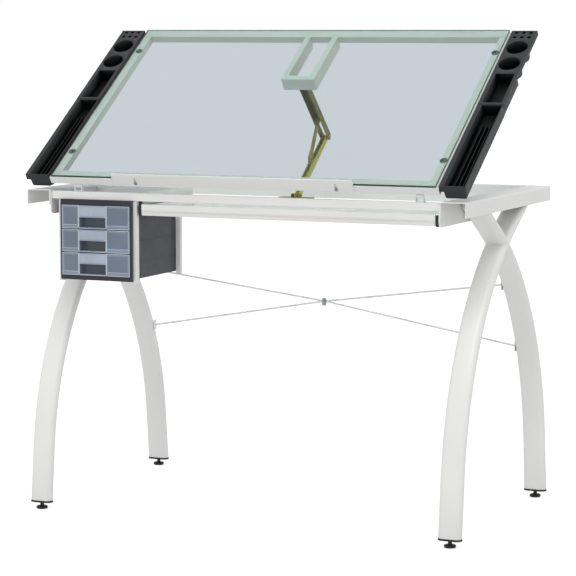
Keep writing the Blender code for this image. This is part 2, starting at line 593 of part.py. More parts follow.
def upper_link_and_strut(board):
    """The wider channel that hangs from the board, and the locking strut that swings inside it."""
    s, t = UPPER_PIVOT_S, UPPER_PIVOT_T
    world = Vector((BRACKET_X, HINGE_Y, HINGE_Z))
    world.y += s * math.cos(TILT) - t * math.sin(TILT)
    world.z += s * math.sin(TILT) + t * math.cos(TILT)
    length = (ELBOW - world).length
    holder = pivot("upper_link_pivot", world, lean_of(world, ELBOW))
    depth, top_radius, half, wall = 0.0095, 0.0070, UPPER_HALF, 0.0015
    outline = arc((0, 0), top_radius, 90, 270, 6) + [(0.010, -depth)]
    outline += arc((length, 0), depth, -90, 90, 6) + [(0.010, depth)]
    link = extruded("upper_link", outline, "X", -half, half, ZINC, holder)
    reach, inner = length + 0.02, half - wall
    hollow = (add_extrusion, (rectangle(-0.02, -depth - CUT, reach, depth - wall), "X", -inner, inner))
    elbow_end = (add_extrusion, (rectangle(length - 0.052, -depth, reach, depth + CUT), "X", -inner, inner))
    top_end = (add_extrusion, (rectangle(-0.02, -depth, 0.012, depth + CUT), "X", -inner, inner))
    combine(link, helper("inside_of_upper_link", [hollow], holder), "DIFFERENCE")
    combine(link, helper("elbow_opening", [elbow_end], holder), "DIFFERENCE")
    combine(link, helper("top_opening", [top_end], holder), "DIFFERENCE")
    strut_place = STRUT_PLACE * length
    bores = [(0.0033, 0), (0.0033, length), (0.0024, strut_place)]
    holes = [crosswise_hole(radius, place) for radius, place in bores]
    combine(link, helper("holes_of_upper_link", holes, holder), "DIFFERENCE")
    strut_world = world.lerp(ELBOW, STRUT_PLACE)
    strut_pivot = pivot("strut_pivot", strut_world, lean_of(strut_world, PAWL))
    end = (PAWL - strut_world).length
    bar = arc((0, 0), 0.0045, 45, 315, 7) + [(end - 0.018, -0.0032), (end - 0.018, 0.0032)]
    strut = extruded("locking_strut", bar, "X", -0.0035, 0.0035, ZINC, strut_pivot)
    pawl = [(end - 0.0200, -0.0032), (end - 0.0015, -0.0050), (end + 0.0080, 0.0045), (end + 0.0070, 0.0068)]
    pawl += [(end - 0.0060, 0.0062), (end - 0.0200, 0.0032)]
    shoe = (add_extrusion, (pawl, "X", -0.0040, 0.0040))
    combine(strut, helper("pawl_shoe", [shoe], strut_pivot), "UNION")
    bore = (add_turned, ([(0.0024, -0.03), (0.0024, 0.03)], "X", (0, 0, 0), 14))
    combine(strut, helper("strut_hole", [bore], strut_pivot), "DIFFERENCE")
    pin = [(0.0021, -half - 0.0008), (0.0021, half + 0.0008)]
    turned("strut_pin", pin, "X", (0, strut_place, 0), ZINC, holder, sides=14)


def stay_top_bracket(board):
    """The ears behind the support bracket's front bar that carry the upper link."""
    s, t = UPPER_PIVOT_S, UPPER_PIVOT_T
    front, near = 0.4205 + GAP, UPPER_HALF + 0.0006
    far = near + 0.0020
    plate = rectangle(front, t + 0.0078, front + 0.0022, 0.018)
    bracket = extruded("stay_top_bracket", plate, "X", BRACKET_X - far, BRACKET_X + far, ZINC, board)
    ear = [(front, t + 0.0120), (front, t - 0.0065)] + arc((s, t), 0.0075, -60, 60, 6)
    combine(bracket, helper("stay_top_ears", pair_of_ears(ear, near, far), board), "UNION")
    pin = (add_turned, ([(0.0030, -far - 0.0006), (0.0030, far + 0.0006)], "X", (BRACKET_X, s, t), 14))
    combine(bracket, helper("stay_top_pin", [pin], board), "UNION")


def main():
    base_rails()
    for word, side in for_both_sides():
        side_member(word, side)
    side_plates()
    legs_and_feet()
    cross_brace()
    unit_posts()
    unit_case()
    small_drawers()
    wide_drawer()
    board = pivot("board_hinge_axis", (0, HINGE_Y, HINGE_Z), TILT)
    board_frame(board)
    glass_and_bumpers(board)
    pencil_ledge(board)
    side_trays(board)
    board_hinges(board)
    stay_base()
    lower_link()
    upper_link_and_strut(board)
    stay_top_bracket(board)
    for placed_object in bpy.context.scene.objects:
        if placed_object.parent is None:
            placed_object.location.y -= MIDDLE_Y


main()
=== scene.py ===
# %% [markdown]
# # A tilting drafting table, cell by cell
#
# The table is a white powder-coated steel frame with a glass top that tilts on a
# ratchet stay, two rows of black plastic trays, a wide steel drawer and a stack of
# three small plastic drawers. Its solids come packed, with their joints. These cells
# give every solid its finish and add the small things a maker would fit by hand:
# screws, rivets, welds, drawer trims, end caps and the real sheet of glass.

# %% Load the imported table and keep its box
import json
import math

import bpy
from mathutils import Matrix, Vector

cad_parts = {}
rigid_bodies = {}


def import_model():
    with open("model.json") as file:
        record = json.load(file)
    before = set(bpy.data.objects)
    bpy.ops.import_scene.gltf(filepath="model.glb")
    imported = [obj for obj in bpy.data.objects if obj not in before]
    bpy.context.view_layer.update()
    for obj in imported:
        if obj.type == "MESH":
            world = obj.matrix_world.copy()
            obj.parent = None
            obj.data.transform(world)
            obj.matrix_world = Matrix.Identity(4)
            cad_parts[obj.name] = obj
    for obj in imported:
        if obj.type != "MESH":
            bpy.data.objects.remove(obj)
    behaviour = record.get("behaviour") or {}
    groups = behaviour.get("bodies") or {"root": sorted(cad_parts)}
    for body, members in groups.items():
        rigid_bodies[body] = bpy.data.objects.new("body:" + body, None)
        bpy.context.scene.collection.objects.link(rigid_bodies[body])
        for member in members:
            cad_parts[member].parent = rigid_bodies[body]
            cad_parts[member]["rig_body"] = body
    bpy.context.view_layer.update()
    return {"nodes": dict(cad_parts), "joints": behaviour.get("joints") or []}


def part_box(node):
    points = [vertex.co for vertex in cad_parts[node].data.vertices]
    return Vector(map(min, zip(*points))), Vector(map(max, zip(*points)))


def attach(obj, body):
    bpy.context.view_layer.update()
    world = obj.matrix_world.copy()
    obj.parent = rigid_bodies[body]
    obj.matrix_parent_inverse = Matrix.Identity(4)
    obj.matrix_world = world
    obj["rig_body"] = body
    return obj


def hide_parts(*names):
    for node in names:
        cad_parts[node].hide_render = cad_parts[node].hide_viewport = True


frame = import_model()
nodes = frame["nodes"]

# %% [markdown]
# ## The camera
#
# A long lens from the right, a little above the trays, keeps the legs parallel. The
# distance and the lens were solved together from the table's own measures.

# %% Set up the camera
LENS_MM, SENSOR_MM, SEES_TO = 143.38, 36, 100
CAMERA_SPOT = (2.2237, -5.02254, 1.1422)
CAMERA_UP, CAMERA_ROUND = math.radians(83.59), math.radians(23.97)
camera_data = bpy.data.cameras.new("camera")
camera_data.lens, camera_data.sensor_width = LENS_MM, SENSOR_MM
camera_data.clip_end = SEES_TO
camera = bpy.data.objects.new("camera", camera_data)
camera.location = CAMERA_SPOT
camera.rotation_euler = (CAMERA_UP, 0, CAMERA_ROUND)
bpy.context.scene.collection.objects.link(camera)
bpy.context.scene.camera = camera
print("camera at", tuple(camera.location))

# %% [markdown]
# ## Working by hand, in code
#
# Operators act on whatever is selected, so each step starts by letting go of
# everything. Faces are then picked by where they are and which way they look, as a
# hand would pick them on the screen.


# %% Let go of everything, and start from a block or a round bar
def let_go():
    active = bpy.context.object
    if active and active.mode != "OBJECT":
        bpy.ops.object.mode_set(mode="OBJECT")
    bpy.ops.object.select_all(action="DESELECT")


def take(piece):
    let_go()
    piece.select_set(True)
    bpy.context.view_layer.objects.active = piece
    return piece


def name_it(name):
    bpy.ops.object.transform_apply(location=True, rotation=True, scale=True)
    piece = bpy.context.object
    piece.name = piece.data.name = name
    return piece


def block(name, low, high):
    let_go()
    middle = [(a + b) / 2 for a, b in zip(low, high)]
    size = [b - a for a, b in zip(low, high)]
    bpy.ops.mesh.primitive_cube_add(size=1, location=middle, scale=size)
    return name_it(name)


def round_bar(name, radius, length, middle, along="Z", sides=32):
    let_go()
    quarter = math.radians(90)
    turn = {"X": (0, quarter, 0), "Y": (quarter, 0, 0), "Z": (0, 0, 0)}[along]
    bpy.ops.mesh.primitive_cylinder_add(
        vertices=sides, radius=radius, depth=length, location=middle, rotation=turn
    )
    return name_it(name)


print("blocks and round bars can be started")


# %% Pick faces or edges
def pick_nothing(mesh):
    for parts in (mesh.vertices, mesh.edges, mesh.polygons):
        parts.foreach_set("select", [False] * len(parts))


def open_faces(piece, wanted):
    take(piece)
    bpy.context.tool_settings.mesh_select_mode = (False, False, True)
    pick_nothing(piece.data)
    faces = piece.data.polygons
    picked = [bool(wanted(face.center, face.normal)) for face in faces]
    faces.foreach_set("select", picked)
    bpy.ops.object.mode_set(mode="EDIT")
    return sum(picked)


def open_edges(piece, wanted):
    take(piece)
    bpy.context.tool_settings.mesh_select_mode = (False, True, False)
    mesh = piece.data
    pick_nothing(mesh)
    ends = [[mesh.vertices[number].co for number in edge.vertices] for edge in mesh.edges]
    picked = [bool(wanted(*pair)) for pair in ends]
    mesh.edges.foreach_set("select", picked)
    bpy.ops.object.mode_set(mode="EDIT")
    return sum(picked)


def in_front(place, normal):
    return normal.y < -0.9


print("faces and edges can be picked")

# %% [markdown]
# Picked faces are inset, for a dome or a sunk field, or pushed out or in. Last, a
# finished piece gets smooth shading and a small bevel on its sharp edges.


# %% Inset and push faces, soften edges
def close():
    bpy.ops.object.mode_set(mode="OBJECT")


def inset(piece, wanted, *steps):
    open_faces(piece, wanted)
    for thickness, depth in steps:
        bpy.ops.mesh.inset(thickness=thickness, depth=depth)
    close()


def push(offset):
    bpy.ops.mesh.extrude_region_move(TRANSFORM_OT_translate={"value": offset})
    close()


def soften(piece, width, segments=2, angle=30):
    take(piece)
    bpy.ops.object.shade_smooth_by_angle(angle=math.radians(angle))
    bpy.ops.object.modifier_add(type="BEVEL")
    bevel = piece.modifiers[-1]
    bevel.width, bevel.segments, bevel.limit_method = width, segments, "ANGLE"
    bevel.angle_limit, bevel.harden_normals = math.radians(angle), True
    bpy.ops.object.modifier_apply(modifier=bevel.name)
    return piece


print("faces can be inset and pushed, and edges softened")

# %% [markdown]
# What repeats is modelled once. A copy gets its own mesh, goes where it is wanted, and
# can be turned half round, for a piece that faces the other way. Where many are alike,
# the first one is spread over a list of named spots.


# %% Copy and join pieces
def copy_of(piece, name, start, end, half_turn=False):
    take(piece)
    bpy.ops.object.duplicate()
    turn = Matrix.Rotation(math.pi, 4, "Z") if half_turn else Matrix()
    there, back = Matrix.Translation(end), Matrix.Translation(-Vector(start))
    bpy.context.object.matrix_world = there @ turn @ back
    return name_it(name)


def spread(first, spots, turned=()):
    start = spots[first.name]
    others = [name for name in spots if name != first.name]
    copies = [copy_of(first, name, start, spots[name], name in turned) for name in others]
    return [first, *copies]


def joined(name, pieces):
    let_go()
    for piece in pieces:
        piece.select_set(True)
    bpy.context.view_layer.objects.active = pieces[0]
    bpy.ops.object.join()
    return name_it(name)


print("pieces can be copied and joined")

# %% [markdown]
# ## The board's own frame
#
# Everything on the tilting board is easiest to model flat: X across, Y up the board
# and Z out of its face. One matrix then lays a finished piece on the tilted board.

# %% The board's frame, and a node's box in it
board_tilt = next(joint for joint in frame["joints"] if joint["name"] == "board_tilt")
TILT = math.radians(34.2)
HINGE = Vector(board_tilt["pos_m"])
BOARD_FRAME = Matrix.Translation(HINGE) @ Matrix.Rotation(TILT, 4, "X")


def board_box(node):
    points = [BOARD_FRAME.inverted() @ vertex.co for vertex in nodes[node].data.vertices]
    low = Vector(min(point[axis] for point in points) for axis in range(3))
    high = Vector(max(point[axis] for point in points) for axis in range(3))
    return low, high


def lay_on_board(piece):
    take(piece)
    piece.matrix_world = BOARD_FRAME
    bpy.ops.object.transform_apply(location=True, rotation=True, scale=True)
    return piece


print("the hinge line is at", tuple(round(value, 4) for value in HINGE))

# %% [markdown]
# ## Finishes
#
# Each finish is a few nodes: a base colour that wanders a little, a roughness that
# wanders with it, and a fine bump. They read Object coordinates, so the pattern keeps
# its true size on every piece.


# %% Helpers that build a finish
def shade(red, green, blue):
    return tuple(
        value / 255 / 12.92 if value < 11 else ((value / 255 + 0.055) / 1.055) ** 2.4
        for value in (red, green, blue)
    )


def new_finish(name, colour, roughness, **sockets):
    material = bpy.data.materials.new(name)
    material.use_nodes = True
    shader = material.node_tree.nodes["Principled BSDF"]
    shader.inputs["Base Color"].default_value = (*colour, 1)
    shader.inputs["Roughness"].default_value = roughness
    for socket, value in sockets.items():
        shader.inputs[socket.replace("_", " ")].default_value = value
    material.diffuse_color = (*colour, 1)
    return material


def grain(material, scale, detail=3.0, stretch=(1, 1, 1)):
    tree = material.node_tree
    place = tree.nodes.new("ShaderNodeTexCoord")
    mapping = tree.nodes.new("ShaderNodeMapping")
    mapping.inputs["Scale"].default_value = stretch
    noise = tree.nodes.new("ShaderNodeTexNoise")
    noise.inputs["Scale"].default_value = scale
    noise.inputs["Detail"].default_value = detail
    tree.links.new(place.outputs["Object"], mapping.inputs["Vector"])
    tree.links.new(mapping.outputs["Vector"], noise.inputs["Vector"])
    return noise.outputs["Fac"]


def wander_colour(material, source, *stops):
    tree = material.node_tree
    ramp = tree.nodes.new("ShaderNodeValToRGB")
    elements = ramp.color_ramp.elements
    while len(elements) < len(stops):
        elements.new(0.5)
    for element, (place, colour) in zip(elements, stops):
        element.position, element.color = place, (*colour, 1)
    tree.links.new(source, ramp.inputs["Fac"])
    tree.links.new(ramp.outputs["Color"], tree.nodes["Principled BSDF"].inputs["Base Color"])


def wander_roughness(material, source, low, high):
    tree = material.node_tree
    spread = tree.nodes.new("ShaderNodeMapRange")
    limits = {"From Min": 0.3, "From Max": 0.7, "To Min": low, "To Max": high}
    for socket, value in limits.items():
        spread.inputs[socket].default_value = value
    tree.links.new(source, spread.inputs["Value"])
    tree.links.new(spread.outputs["Result"], tree.nodes["Principled BSDF"].inputs["Roughness"])


def raise_grain(material, source, strength, height=0.0003):
    tree = material.node_tree
    bump = tree.nodes.new("ShaderNodeBump")
    bump.inputs["Strength"].default_value = strength
    bump.inputs["Distance"].default_value = height
    tree.links.new(source, bump.inputs["Height"])
    tree.links.new(bump.outputs["Normal"], tree.nodes["Principled BSDF"].inputs["Normal"])


print("finishes can be mixed")

# %% [markdown]
# ### White powder coat
#
# Powder coat is baked plastic dust: smooth, half-gloss, with a faint orange peel. A
# slow noise moves its white by a hair and a fine noise dents it.


# %% White powder coat
def powder_coat(name, dark, light):
    coat = new_finish(name, light, 0.36, Coat_Weight=0.12, Coat_Roughness=0.25)
    wander_colour(coat, grain(coat, 4), (0.3, dark), (0.7, light))
    wander_roughness(coat, grain(coat, 25), 0.36, 0.40)
    raise_grain(coat, grain(coat, 900, 2), 0.05, 0.0001)
    return coat


white_powder = powder_coat("white_powder_coat", shade(225, 225, 224), shade(230, 230, 229))
print("mixed", white_powder.name)

# %% [markdown]
# ### Black and grey plastics
#
# The trays, caps and feet are moulded in a spark-eroded mould, which leaves a fine
# even grain. The drawer bins are a cloudy blue-grey that lets a little light in, and
# their case is a darker grey of the same kind.


# %% Moulded plastics
def moulded(name, colour, roughness, grain_size=900, strength=0.25, **sockets):
    plastic = new_finish(name, colour, roughness, **sockets)
    dark = tuple(value * 0.86 for value in colour)
    light = tuple(min(1, value * 1.10) for value in colour)
    wander_colour(plastic, grain(plastic, 9, 4), (0.3, dark), (0.7, light))
    wander_roughness(plastic, grain(plastic, 40), roughness - 0.05, roughness + 0.07)
    raise_grain(plastic, grain(plastic, grain_size, 2), strength, 0.0002)
    return plastic


black_plastic = moulded("black_cap_plastic", shade(30, 31, 33), 0.42, Specular_IOR_Level=0.35)
tray_plastic = moulded("black_tray_plastic", shade(30, 31, 32), 0.45, Specular_IOR_Level=0.22)
case_plastic = moulded("grey_case_plastic", shade(68, 69, 75), 0.42, Specular_IOR_Level=0.35)
bin_plastic = moulded(
    "cloudy_bin_plastic",
    shade(128, 141, 158),
    0.34,
    strength=0.10,
    Subsurface_Weight=0.12,
    Subsurface_Scale=0.004,
)
lip_plastic = moulded("pale_lip_plastic", shade(168, 179, 194), 0.28, strength=0.08)
rim_plastic = moulded("bright_rim_plastic", shade(182, 191, 202), 0.28, strength=0.06)
# painted shade: the dark inside of the hollow bin, seen through its front
shaded_windows_finish = moulded("dim_window_plastic", shade(106, 118, 135), 0.36, strength=0.10)
# painted shade: the dark inside of the finger hole
recess_shade_finish = moulded("dark_recess_plastic", shade(84, 90, 100), 0.45, strength=0.15)
bumper_rubber = moulded("clear_bumper_rubber", shade(88, 110, 100), 0.25, strength=0.05)
bumper_core = moulded("dark_bumper_core", shade(48, 62, 56), 0.25, strength=0.05)
slide_paint = moulded("black_slide_paint", shade(26, 27, 29), 0.38, 1400, 0.08)
bezel_plastic = moulded("dark_bezel_plastic", shade(48, 49, 55), 0.36, Specular_IOR_Level=0.35)
print("mixed the plastics")

# %% [markdown]
# The trays' cups and troughs look nearly black inside. Shade is painted into their
# plastic: its colour gets darker where a spot is enclosed, measured by how much of the
# room the spot can see.


# %% Paint shade into the hollows of the trays
def paint_shade_in_hollows(material, reach, dark, light):
    tree = material.node_tree
    hollow = tree.nodes.new("ShaderNodeAmbientOcclusion")
    hollow.samples, hollow.only_local = 12, True
    hollow.inputs["Distance"].default_value = reach
    wander_colour(material, hollow.outputs["AO"], (0.62, dark), (0.97, light))


# painted shade: near black in the enclosed hollows, dark grey on the open faces
paint_shade_in_hollows(tray_plastic, 0.045, shade(3, 4, 4), shade(50, 52, 54))
print("darkened the hollows of", tray_plastic.name)

# %% [markdown]
# ### Steel and yellow zinc
#
# The stay is pressed steel, zinc plated and passivated. Passivate is a thin film, so
# it turns from olive to straw to grey-green over a few centimetres. The brace rods and
# the hinges are plain bright zinc.


# %% Bright and yellow zinc
def zinc(name, *tones, roughness=0.38, metal=0.6):
    plated = new_finish(name, tones[1], roughness, Metallic=metal)
    cloud = grain(plated, 38, 4, stretch=(1, 0.5, 0.5))
    stops = [(0.30 + 0.40 * i / (len(tones) - 1), tone) for i, tone in enumerate(tones)]
    wander_colour(plated, cloud, *stops)
    wander_roughness(plated, grain(plated, 120), roughness - 0.08, roughness + 0.08)
    raise_grain(plated, grain(plated, 700, 2), 0.08, 0.0001)
    return plated


THIN_FILM, BRIGHT = 0.45, 0.3
olive_tones = shade(74, 64, 8), shade(124, 114, 30), shade(112, 124, 70)
olive_zinc = zinc("olive_zinc", *olive_tones, metal=THIN_FILM)
straw_tones = shade(160, 140, 40), shade(206, 190, 88), shade(186, 182, 100)
straw_zinc = zinc("straw_zinc", *straw_tones, metal=THIN_FILM)
pale_tones = shade(120, 108, 50), shade(156, 146, 86), shade(170, 160, 104)
pale_zinc = zinc("pale_zinc", *pale_tones, metal=THIN_FILM)
rod_tones = shade(204, 206, 208), shade(222, 224, 225), shade(230, 231, 232)
rod_zinc = zinc("bright_rod_zinc", *rod_tones, metal=BRIGHT)
screw_zinc = zinc("screw_zinc", shade(120, 124, 123), shade(150, 154, 153), shade(170, 173, 172))
print("mixed the zincs")

# %% [markdown]
# ### Glass
#
# The top is 5 mm float glass. Across its face it only greys what is behind it, but
# its edge is seen through hundreds of millimetres of glass, so it is deep green. The
# refractive index is set lower than float glass's own 1.52, for the look alone.

# %% Glass face and polished edge
GLASS_TINT, GLASS_IOR = (0.645, 0.725, 0.680), 1.22
glass_face = new_finish("clear_glass", GLASS_TINT, 0.0, Transmission_Weight=1.0, IOR=GLASS_IOR)
wander_roughness(glass_face, grain(glass_face, 6), 0.0, 0.010)


def let_lamps_through(material, tint):
    tree = material.node_tree
    clear = tree.nodes.new("ShaderNodeBsdfTransparent")
    clear.inputs["Color"].default_value = (*tint, 1)
    ray = tree.nodes.new("ShaderNodeLightPath")
    either = tree.nodes.new("ShaderNodeMixShader")
    tree.links.new(ray.outputs["Is Shadow Ray"], either.inputs["Fac"])
    tree.links.new(tree.nodes["Principled BSDF"].outputs["BSDF"], either.inputs[1])
    tree.links.new(clear.outputs["BSDF"], either.inputs[2])
    tree.links.new(either.outputs["Shader"], tree.nodes["Material Output"].inputs["Surface"])


let_lamps_through(glass_face, tuple(value**0.5 for value in GLASS_TINT))
glass_edge = new_finish("green_glass_edge", shade(22, 50, 42), 0.08, Coat_Weight=0.5)
wander_colour(
    glass_edge, grain(glass_edge, 5), (0.35, shade(16, 40, 33)), (0.65, shade(30, 66, 54))
)
far_edge = new_finish("pale_glass_edge", shade(150, 188, 170), 0.15)
wander_colour(
    far_edge, grain(far_edge, 5), (0.35, shade(140, 180, 160)), (0.65, shade(160, 196, 178))
)
print("mixed the glass")

# %% [markdown]
# ## Finishes on the imported solids
#
# Each solid names the slot it is finished in, so one table gives nearly all of them
# their finish. The stay's pieces get tones of their own, the upper link the darkest.

# %% Dress the solids
FINISH_OF_SLOT = {
    "white_powder": white_powder,
    "black_plastic": black_plastic,
    "tray_plastic": tray_plastic,
    "case_plastic": case_plastic,
    "bin_plastic": bin_plastic,
    "slide_steel": slide_paint,
    "rod_steel": rod_zinc,
    "glass": glass_face,
    "bumper": bumper_rubber,
    "zinc": olive_zinc,
}
FINISH_OF_NODE = {
    "lower_link": straw_zinc,
    "locking_strut": pale_zinc,
    "strut_pin": pale_zinc,
    "elbow_pin": straw_zinc,
    "hinge_bracket_left": rod_zinc,
    "hinge_bracket_right": rod_zinc,
    "hinge_leaf_left": rod_zinc,
    "hinge_leaf_right": rod_zinc,
}
for name, node in nodes.items():
    for place in node.material_slots:
        slot_name = place.material.name.split(".")[0]
        place.material = FINISH_OF_NODE.get(name, FINISH_OF_SLOT[slot_name])
print("dressed", len(nodes), "solids")

# %% [markdown]
# A finished piece of trim gets its finish, the slot that the finish belongs to and the
# body that it moves with.


# %% Hand a finished piece over to its body
def hand_in(piece, body, material):
    if not piece.data.materials:
        piece.data.materials.append(material)
    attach(piece, body)
    print(piece.name, "rides on", body, "with", len(piece.data.polygons), "faces")
    return piece


print("pieces can be handed over")

# %% [markdown]
# ## Rounded tubes and mouldings
#
# Rolled tube and moulded plastic have no knife edges. A copy of each such solid has its
# doubled points merged, then gets smooth shading and a small bevel that keeps the flat
# faces flat. The copy stands for the solid, which stays behind for the physics.


# %% Round the edges of tubes and mouldings
SAME_SPOT = 0.00001


def rounded_copy(node, width):
    solid = nodes[node]
    piece = bpy.data.objects.new(node + "_rounded", solid.data.copy())
    bpy.context.scene.collection.objects.link(piece)
    piece.data.name = piece.name
    open_faces(piece, lambda middle, normal: True)
    bpy.ops.mesh.remove_doubles(threshold=SAME_SPOT)
    close()
    soften(piece, width, angle=32)
    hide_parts(node)
    hand_in(piece, solid["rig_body"], None)


ROUNDING = {
    "leg_pair": 0.0022,
    "front_rail": 0.0012,
    "back_rail": 0.0012,
    "centre_rail": 0.0010,
    "board_": 0.0012,
    "unit_post": 0.0008,
    "support_bracket": 0.0010,
    "pencil_ledge": 0.0005,
    "lower_tray": 0.0012,
    "upper_tray": 0.0012,
}
for node in sorted(nodes):
    for start, width in ROUNDING.items():
        if node.startswith(start):
            rounded_copy(node, width)
print("rounded the tubes and mouldings")

# %% [markdown]
# ## The glass top
#
# The sheet is cut, its edges are ground to a small chamfer and polished. A block of
# the right size gets a fine bevel, and its rim faces take the green edge finish. The
# far edge catches the light and is paler.

# %% Grind and fit the glass
glass = block("glass_plate", *board_box("glass_top"))
soften(glass, 0.0007, 2)
bpy.ops.object.shade_flat()
for finish in (glass_face, glass_edge, far_edge):
    glass.data.materials.append(finish)
rim = open_faces(glass, lambda middle, normal: abs(normal.z) < 0.95)
glass.active_material_index = 1
bpy.ops.object.material_slot_assign()
open_faces(glass, lambda middle, normal: normal.y > 0.25)
glass.active_material_index = 2
bpy.ops.object.material_slot_assign()
lay_on_board(glass)
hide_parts("glass_top")
hand_in(glass, "board", glass_face)
print("the glass has", rim, "polished rim faces")

# %% [markdown]
# ## Pan-head screws
#
# The pencil ledge is held by two of them, each in a slot, so that the ledge can be
# pushed down flush with the glass. One head is modelled: a short round bar, whose face
# is inset for the dome and then sunk for a small round socket. It is copied along.

# %% Screws in the ledge's slots
HEAD_RADIUS, HEAD_HIGH, SCREW_UP = 0.004, 0.0022, 0.013
ledge_low, _ = board_box("pencil_ledge")
head_y = ledge_low.y + 0.0001 - HEAD_HIGH / 2
left_spot, right_spot = Vector((-0.260, head_y, SCREW_UP)), Vector((0.245, head_y, SCREW_UP))
left_screw = round_bar("ledge_screw_left", HEAD_RADIUS, HEAD_HIGH, left_spot, "Y", 24)
dome = (HEAD_RADIUS * 0.35, HEAD_HIGH * 0.22)
flat, socket = (HEAD_RADIUS * 0.28, 0), (HEAD_RADIUS * 0.05, -HEAD_HIGH * 0.45)
inset(left_screw, in_front, dome, flat, socket)
soften(left_screw, HEAD_HIGH * 0.12, 2, 35)
right_screw = copy_of(left_screw, "ledge_screw_right", left_spot, right_spot)
for screw in (left_screw, right_screw):
    hand_in(lay_on_board(screw), "board", screw_zinc)

# %% [markdown]
# ## Rivets at the elbow
#
# The stay's two channels meet at a rivet. Its heads sit on the outer faces of the
# upper channel: a short round bar each, domed by two insets. The right one is the left
# one turned half round.

# %% Elbow rivets
RIVET_RADIUS, RIVET_HIGH = 0.0046, 0.0014
pin_low, pin_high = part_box("elbow_pin")
pin_middle = (pin_low + pin_high) / 2
link_low, link_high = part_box("upper_link")
left_spot = Vector((link_low.x - RIVET_HIGH / 2, pin_middle.y, pin_middle.z))
right_spot = Vector((link_high.x + RIVET_HIGH / 2, pin_middle.y, pin_middle.z))
left_rivet = round_bar("elbow_rivet_left", RIVET_RADIUS, RIVET_HIGH, left_spot, "X", 24)
rim_step, crown_step = (0.0014, 0.0004), (0.0012, 0.0002)
inset(left_rivet, lambda place, normal: normal.x < -0.9, rim_step, crown_step)
soften(left_rivet, 0.0002)
right_rivet = copy_of(left_rivet, "elbow_rivet_right", left_spot, right_spot, half_turn=True)
for rivet in (left_rivet, right_rivet):
    hand_in(rivet, "upper_link", straw_zinc)

# %% [markdown]
# ## Cores of the glass bumpers
#
# Four soft pads keep the glass off the steel. Each is pressed on a small dark core
# that shows through the glass as a second, darker disc. A thin round bar gets a sunk
# middle, and is copied from pad to pad before each is laid on the board.


# %% Bumper cores
CORE_RADIUS, CORE_HIGH, CORE_INWARD = 0.0046, 0.00018, 0.0030


def core_spot(end, side):
    low, high = board_box(f"glass_bumper_{end}_{side}")
    inward = CORE_INWARD if side == "left" else -CORE_INWARD
    return Vector(((low.x + high.x) / 2 + inward, (low.y + high.y) / 2, high.z + 0.00008))


core_spots = {}
for end in ("front", "rear"):
    for side in ("left", "right"):
        core_spots[f"bumper_core_{end}_{side}"] = core_spot(end, side)
first_name, first_spot = next(iter(core_spots.items()))
first_core = round_bar(first_name, CORE_RADIUS, CORE_HIGH, first_spot, "Z", 24)
inset(first_core, lambda place, normal: normal.z > 0.9, (0.0020, -0.00006))
for core in spread(first_core, core_spots):
    hand_in(lay_on_board(core), "board", bumper_core)

# %% [markdown]
# ## Small drawer fronts
#
# Each bin's front is moulded with a rim, two uprights beside the pull, a thin bead
# above its foot, and a pull lip that curls out over the finger hole. The strips are
# softened blocks joined into one piece. The lip is a block whose front is sunk inside
# a border, and whose top edge is drawn forward.

# %% Measures of a drawer front
UPRIGHTS = ((-0.4125, -0.4090), (-0.3390, -0.3355))
PROUD, EDGE, EDGE_GAP = 0.0008, 0.0016, 0.0017
BEAD_LOW, BEAD_HIGH, BEAD_PROUD = 0.0078, 0.0090, 0.0005
print("uprights at", UPRIGHTS)


# %% The rim, uprights and bead
def strip(x0, z0, x1, z1, face, proud=PROUD):
    return block("strip", (x0, face - proud, z0), (x1, face + 0.0003, z1))


def drawer_trim(body):
    low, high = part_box(body)
    face, first, last = low.y, UPRIGHTS[0][0], UPRIGHTS[1][1]
    left, right = low.x + EDGE_GAP, high.x - EDGE_GAP
    strips = [strip(x0, low.z, x1, high.z, face) for x0, x1 in UPRIGHTS]
    strips.append(strip(low.x, low.z, low.x + EDGE, high.z, face))
    strips.append(strip(high.x - EDGE, low.z, high.x, high.z, face))
    strips.append(strip(left, high.z - EDGE, first, high.z, face))
    strips.append(strip(last, high.z - EDGE, right, high.z, face))
    strips.append(strip(left, low.z, right, low.z + EDGE, face))
    for x0, x1 in ((left, first), (last, right)):
        strips.append(strip(x0, low.z + BEAD_LOW, x1, low.z + BEAD_HIGH, face, BEAD_PROUD))
    return soften(joined(body + "_trim", strips), 0.0002)


print("a bin's rim can be built")

# %% [markdown]
# The hollow bin shows through its cloudy front as a darker field on each side of the
# pull, and the finger hole opens on its dark inside. Both are painted shade: darker
# sheets laid on the front, and a dark plate at the back of the finger hole.


# %% The painted-shade windows and the painted-shade lining of the finger hole
# darker sheets of painted shade on each side of the pull
def painted_shade_windows(body):
    low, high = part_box(body)
    left = (low.x + 0.0050, UPRIGHTS[0][0] - 0.0016)
    right = (UPRIGHTS[1][1] + 0.0016, high.x - 0.0062)
    sheets = []
    for x0, x1 in (left, right):
        sheets.append(strip(x0, low.z + 0.0105, x1, high.z - 0.0058, low.y, 0.0003))
    return soften(joined(body + "_windows", sheets), 0.0002)


# a dark plate of painted shade at the back of the finger hole
def painted_shade_liner(body):
    low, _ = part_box(body)
    y0, y1 = low.y + 0.0135, low.y + 0.0158
    liner = block(body + "_recess", (-0.4085, y0, low.z + 0.0034), (-0.3395, y1, low.z + 0.0262))
    inset(liner, in_front, (0.0016, -0.0010))
    return soften(liner, 0.0003)


print("a bin's windows and lining can be built")

# %% [markdown]
# The pull lip fills the room between the uprights. It starts above the finger hole and
# ends at the bin's top edge.


